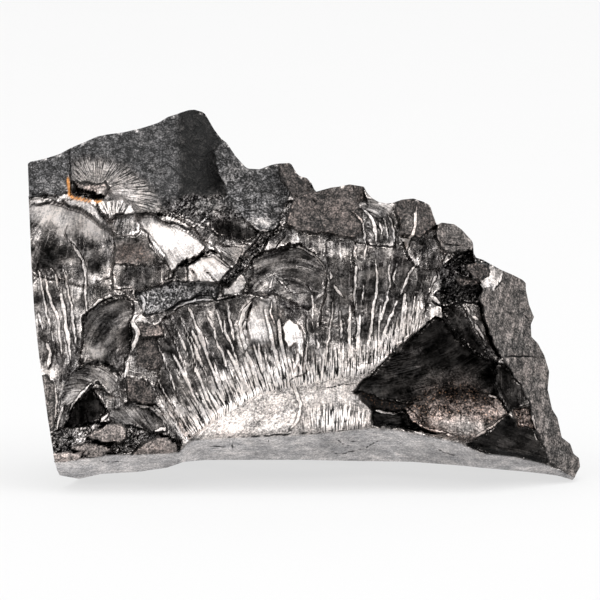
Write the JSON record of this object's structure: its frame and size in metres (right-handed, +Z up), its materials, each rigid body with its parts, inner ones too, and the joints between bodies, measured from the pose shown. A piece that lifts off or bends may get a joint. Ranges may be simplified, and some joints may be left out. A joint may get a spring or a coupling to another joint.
{
  "type": "shungite rock",
  "caption": "Broken piece of glossy black shungite with conchoidal scars, hackle ridges and a flat bed to rest on.",
  "frame": {"origin": "middle of the stone's footprint, on the plane that it rests on", "axes": "+Z up, +X along the show face to the right, +Y from the show face into the stone; the show face looks towards -Y"},
  "size_m": [0.0506, 0.0266, 0.0334],
  "materials": {
    "shungite": "glossy, silvery black on fresh fracture, matte dark grey on weathered slabs"
  },
  "bodies": {
    "root": {"shungite": "shungite"}
  },
  "joints": []
}
